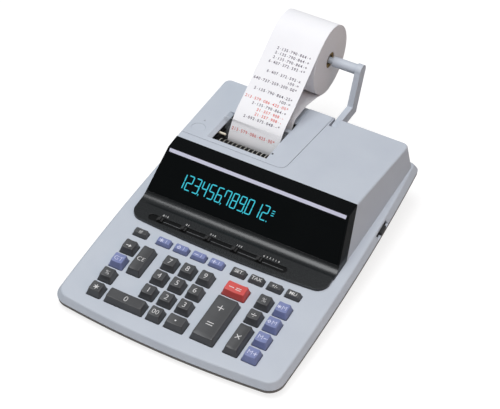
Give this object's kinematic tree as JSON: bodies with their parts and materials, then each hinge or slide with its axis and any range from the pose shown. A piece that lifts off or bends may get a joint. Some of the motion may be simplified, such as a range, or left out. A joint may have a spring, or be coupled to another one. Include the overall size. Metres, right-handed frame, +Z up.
{
  "type": "printing desk calculator",
  "caption": "Sloping desk calculator with dished keys, slide switches, a wide display front and a raised printer housing fed by a paper roll on a cantilever arm.",
  "frame": {"origin": "middle of the overall box in plan, on the table under the rubber feet", "axes": "+X to the right, +Y from the keyboard to the paper roll, +Z up"},
  "size_m": [0.2526, 0.4058, 0.1491],
  "materials": {
    "grey_case": "fine satin",
    "dark_tray": "matt",
    "black_front": "satin gloss",
    "smoked_window": "polished",
    "clear_bar": "clear polished",
    "paper": "matt",
    "tube_glass": "clear",
    "board": "satin",
    "dome_rubber": "matt",
    "frame_metal": "plain",
    "core_metal": "varnished",
    "foot_rubber": "matt",
    "black_moving": "satin",
    "key_charcoal": "satin",
    "key_blue": "satin",
    "key_red": "satin"
  },
  "bodies": {
    "case": {"upper_case": "grey_case", "lower_case": "dark_tray", "front_bezel": "black_front", "display_window": "smoked_window", "vfd_tube": "tube_glass", "main_board": "board", "dome_mat": "dome_rubber", "printer_frame": "frame_metal", "drive_motor": "frame_metal", "transformer": "core_metal", "rubber_feet": "foot_rubber", "case_screws": "frame_metal", "paper_strip": "paper"},
    "cover": {"printer_cover": "grey_case", "tear_bar": "clear_bar"},
    "arm": {"roll_arm": "grey_case"},
    "roll": {"paper_roll": "paper"},
    "platen": {"platen_roller": "dome_rubber"},
    "drum": {"type_drum": "black_moving"},
    "key_fn_0_cap": {"key_fn_0": "key_charcoal"},
    "key_fn_1_cap": {"key_fn_1": "key_blue"},
    "key_fn_2_cap": {"key_fn_2": "key_blue"},
    "key_fn_3_cap": {"key_fn_3": "key_blue"},
    "key_fn_4_cap": {"key_fn_4": "key_blue"},
    "key_fn_5_cap": {"key_fn_5": "key_charcoal"},
    "key_fn_6_cap": {"key_fn_6": "key_charcoal"},
    "key_fn_7_cap": {"key_fn_7": "key_charcoal"},
    "key_fn_8_cap": {"key_fn_8": "key_charcoal"},
    "key_star_cap": {"key_star": "key_charcoal"},
    "key_percent_add_cap": {"key_percent_add": "key_charcoal"},
    "key_total_cap": {"key_total": "key_blue"},
    "key_feed_cap": {"key_feed": "key_charcoal"},
    "key_7_cap": {"key_7": "key_charcoal"},
    "key_4_cap": {"key_4": "key_charcoal"},
    "key_1_cap": {"key_1": "key_charcoal"},
    "key_8_cap": {"key_8": "key_charcoal"},
    "key_5_cap": {"key_5": "key_charcoal"},
    "key_2_cap": {"key_2": "key_charcoal"},
    "key_00_cap": {"key_00": "key_charcoal"},
    "key_9_cap": {"key_9": "key_charcoal"},
    "key_6_cap": {"key_6": "key_charcoal"},
    "key_3_cap": {"key_3": "key_charcoal"},
    "key_percent_cap": {"key_percent": "key_charcoal"},
    "key_divide_cap": {"key_divide": "key_charcoal"},
    "key_memory_total_cap": {"key_memory_total": "key_blue"},
    "key_memory_sub_cap": {"key_memory_sub": "key_blue"},
    "key_memory_minus_cap": {"key_memory_minus": "key_blue"},
    "key_memory_plus_cap": {"key_memory_plus": "key_blue"},
    "key_clear_cap": {"key_clear": "key_charcoal"},
    "key_0_cap": {"key_0": "key_charcoal"},
    "key_point_cap": {"key_point": "key_charcoal"},
    "key_minus_cap": {"key_minus": "key_red"},
    "key_plus_cap": {"key_plus": "key_charcoal"},
    "key_multiply_cap": {"key_multiply": "key_charcoal"},
    "slide_1_knob": {"slide_1": "black_moving"},
    "slide_2_knob": {"slide_2": "black_moving"},
    "slide_3_knob": {"slide_3": "black_moving"},
    "slide_4_knob": {"slide_4": "black_moving"},
    "slide_5_knob": {"slide_5": "black_moving"},
    "power_knob": {"power_switch": "black_moving"}
  },
  "joints": [
    {"name": "cover_slide", "type": "slide", "parent": "case", "child": "cover", "axis": [0, 0.9996, -0.0273], "range_m": [0, 0.006], "deforming": ["paper_strip"]},
    {"name": "arm_tilt", "type": "hinge", "parent": "case", "child": "arm", "pos_m": [0, 0.11222, 0.0676], "axis": [1, 0, 0], "range_deg": [-20, 0], "deforming": ["paper_strip"]},
    {"name": "roll_spin", "type": "hinge", "parent": "arm", "child": "roll", "pos_m": [0, 0.16442, 0.1098], "axis": [1, 0, 0], "continuous": true},
    {"name": "platen_spin", "type": "hinge", "parent": "case", "child": "platen", "pos_m": [0, 0.05872, 0.058], "axis": [1, 0, 0], "continuous": true},
    {"name": "drum_spin", "type": "hinge", "parent": "case", "child": "drum", "pos_m": [0, 0.03122, 0.061], "axis": [1, 0, 0], "continuous": true},
    {"name": "power_move", "type": "slide", "parent": "case", "child": "power_knob", "axis": [0, 0.9945, 0.1045], "range_m": [-0.0035, 0.0035]},
    {"name": "slide_1_move", "type": "slide", "parent": "case", "child": "slide_1_knob", "axis": [1, 0, 0], "range_m": [-0.008, 0.008]},
    {"name": "slide_2_move", "type": "slide", "parent": "case", "child": "slide_2_knob", "axis": [1, 0, 0], "range_m": [-0.008, 0.008]},
    {"name": "slide_3_move", "type": "slide", "parent": "case", "child": "slide_3_knob", "axis": [1, 0, 0], "range_m": [-0.008, 0.008]},
    {"name": "slide_4_move", "type": "slide", "parent": "case", "child": "slide_4_knob", "axis": [1, 0, 0], "range_m": [-0.008, 0.008]},
    {"name": "slide_5_move", "type": "slide", "parent": "case", "child": "slide_5_knob", "axis": [1, 0, 0], "range_m": [-0.008, 0.008]},
    {"name": "key_fn_0_press", "type": "slide", "parent": "case", "child": "key_fn_0_cap", "axis": [0, 0.1045, -0.9945], "range_m": [0, 0.003], "stiffness_N_per_m": 150, "springref_m": -0.002},
    {"name": "key_fn_1_press", "type": "slide", "parent": "case", "child": "key_fn_1_cap", "axis": [0, 0.1045, -0.9945], "range_m": [0, 0.003], "stiffness_N_per_m": 150, "springref_m": -0.002},
    {"name": "key_fn_2_press", "type": "slide", "parent": "case", "child": "key_fn_2_cap", "axis": [0, 0.1045, -0.9945], "range_m": [0, 0.003], "stiffness_N_per_m": 150, "springref_m": -0.002},
    {"name": "key_fn_3_press", "type": "slide", "parent": "case", "child": "key_fn_3_cap", "axis": [0, 0.1045, -0.9945], "range_m": [0, 0.003], "stiffness_N_per_m": 150, "springref_m": -0.002},
    {"name": "key_fn_4_press", "type": "slide", "parent": "case", "child": "key_fn_4_cap", "axis": [0, 0.1045, -0.9945], "range_m": [0, 0.003], "stiffness_N_per_m": 150, "springref_m": -0.002},
    {"name": "key_fn_5_press", "type": "slide", "parent": "case", "child": "key_fn_5_cap", "axis": [0, 0.1045, -0.9945], "range_m": [0, 0.003], "stiffness_N_per_m": 150, "springref_m": -0.002},
    {"name": "key_fn_6_press", "type": "slide", "parent": "case", "child": "key_fn_6_cap", "axis": [0, 0.1045, -0.9945], "range_m": [0, 0.003], "stiffness_N_per_m": 150, "springref_m": -0.002},
    {"name": "key_fn_7_press", "type": "slide", "parent": "case", "child": "key_fn_7_cap", "axis": [0, 0.1045, -0.9945], "range_m": [0, 0.003], "stiffness_N_per_m": 150, "springref_m": -0.002},
    {"name": "key_fn_8_press", "type": "slide", "parent": "case", "child": "key_fn_8_cap", "axis": [0, 0.1045, -0.9945], "range_m": [0, 0.003], "stiffness_N_per_m": 150, "springref_m": -0.002},
    {"name": "key_star_press", "type": "slide", "parent": "case", "child": "key_star_cap", "axis": [0, 0.1045, -0.9945], "range_m": [0, 0.003], "stiffness_N_per_m": 150, "springref_m": -0.002},
    {"name": "key_percent_add_press", "type": "slide", "parent": "case", "child": "key_percent_add_cap", "axis": [0, 0.1045, -0.9945], "range_m": [0, 0.003], "stiffness_N_per_m": 150, "springref_m": -0.002},
    {"name": "key_total_press", "type": "slide", "parent": "case", "child": "key_total_cap", "axis": [0, 0.1045, -0.9945], "range_m": [0, 0.003], "stiffness_N_per_m": 150, "springref_m": -0.002},
    {"name": "key_feed_press", "type": "slide", "parent": "case", "child": "key_feed_cap", "axis": [0, 0.1045, -0.9945], "range_m": [0, 0.003], "stiffness_N_per_m": 150, "springref_m": -0.002},
    {"name": "key_7_press", "type": "slide", "parent": "case", "child": "key_7_cap", "axis": [0, 0.1045, -0.9945], "range_m": [0, 0.003], "stiffness_N_per_m": 150, "springref_m": -0.002},
    {"name": "key_4_press", "type": "slide", "parent": "case", "child": "key_4_cap", "axis": [0, 0.1045, -0.9945], "range_m": [0, 0.003], "stiffness_N_per_m": 150, "springref_m": -0.002},
    {"name": "key_1_press", "type": "slide", "parent": "case", "child": "key_1_cap", "axis": [0, 0.1045, -0.9945], "range_m": [0, 0.003], "stiffness_N_per_m": 150, "springref_m": -0.002},
    {"name": "key_8_press", "type": "slide", "parent": "case", "child": "key_8_cap", "axis": [0, 0.1045, -0.9945], "range_m": [0, 0.003], "stiffness_N_per_m": 150, "springref_m": -0.002},
    {"name": "key_5_press", "type": "slide", "parent": "case", "child": "key_5_cap", "axis": [0, 0.1045, -0.9945], "range_m": [0, 0.003], "stiffness_N_per_m": 150, "springref_m": -0.002},
    {"name": "key_2_press", "type": "slide", "parent": "case", "child": "key_2_cap", "axis": [0, 0.1045, -0.9945], "range_m": [0, 0.003], "stiffness_N_per_m": 150, "springref_m": -0.002},
    {"name": "key_00_press", "type": "slide", "parent": "case", "child": "key_00_cap", "axis": [0, 0.1045, -0.9945], "range_m": [0, 0.003], "stiffness_N_per_m": 150, "springref_m": -0.002},
    {"name": "key_9_press", "type": "slide", "parent": "case", "child": "key_9_cap", "axis": [0, 0.1045, -0.9945], "range_m": [0, 0.003], "stiffness_N_per_m": 150, "springref_m": -0.002},
    {"name": "key_6_press", "type": "slide", "parent": "case", "child": "key_6_cap", "axis": [0, 0.1045, -0.9945], "range_m": [0, 0.003], "stiffness_N_per_m": 150, "springref_m": -0.002},
    {"name": "key_3_press", "type": "slide", "parent": "case", "child": "key_3_cap", "axis": [0, 0.1045, -0.9945], "range_m": [0, 0.003], "stiffness_N_per_m": 150, "springref_m": -0.002},
    {"name": "key_percent_press", "type": "slide", "parent": "case", "child": "key_percent_cap", "axis": [0, 0.1045, -0.9945], "range_m": [0, 0.003], "stiffness_N_per_m": 150, "springref_m": -0.002},
    {"name": "key_divide_press", "type": "slide", "parent": "case", "child": "key_divide_cap", "axis": [0, 0.1045, -0.9945], "range_m": [0, 0.003], "stiffness_N_per_m": 150, "springref_m": -0.002},
    {"name": "key_memory_total_press", "type": "slide", "parent": "case", "child": "key_memory_total_cap", "axis": [0, 0.1045, -0.9945], "range_m": [0, 0.003], "stiffness_N_per_m": 150, "springref_m": -0.002},
    {"name": "key_memory_sub_press", "type": "slide", "parent": "case", "child": "key_memory_sub_cap", "axis": [0, 0.1045, -0.9945], "range_m": [0, 0.003], "stiffness_N_per_m": 150, "springref_m": -0.002},
    {"name": "key_memory_minus_press", "type": "slide", "parent": "case", "child": "key_memory_minus_cap", "axis": [0, 0.1045, -0.9945], "range_m": [0, 0.003], "stiffness_N_per_m": 150, "springref_m": -0.002},
    {"name": "key_memory_plus_press", "type": "slide", "parent": "case", "child": "key_memory_plus_cap", "axis": [0, 0.1045, -0.9945], "range_m": [0, 0.003], "stiffness_N_per_m": 150, "springref_m": -0.002},
    {"name": "key_clear_press", "type": "slide", "parent": "case", "child": "key_clear_cap", "axis": [0, 0.1045, -0.9945], "range_m": [0, 0.003], "stiffness_N_per_m": 150, "springref_m": -0.002},
    {"name": "key_0_press", "type": "slide", "parent": "case", "child": "key_0_cap", "axis": [0, 0.1045, -0.9945], "range_m": [0, 0.003], "stiffness_N_per_m": 150, "springref_m": -0.002},
    {"name": "key_point_press", "type": "slide", "parent": "case", "child": "key_point_cap", "axis": [0, 0.1045, -0.9945], "range_m": [0, 0.003], "stiffness_N_per_m": 150, "springref_m": -0.002},
    {"name": "key_minus_press", "type": "slide", "parent": "case", "child": "key_minus_cap", "axis": [0, 0.1045, -0.9945], "range_m": [0, 0.003], "stiffness_N_per_m": 150, "springref_m": -0.002},
    {"name": "key_plus_press", "type": "slide", "parent": "case", "child": "key_plus_cap", "axis": [0, 0.1045, -0.9945], "range_m": [0, 0.003], "stiffness_N_per_m": 150, "springref_m": -0.002},
    {"name": "key_multiply_press", "type": "slide", "parent": "case", "child": "key_multiply_cap", "axis": [0, 0.1045, -0.9945], "range_m": [0, 0.003], "stiffness_N_per_m": 150, "springref_m": -0.002}
  ],
  "couplings": [
    {"joint": "platen_spin", "follows": "roll_spin", "ratio": 3.615}
  ]
}
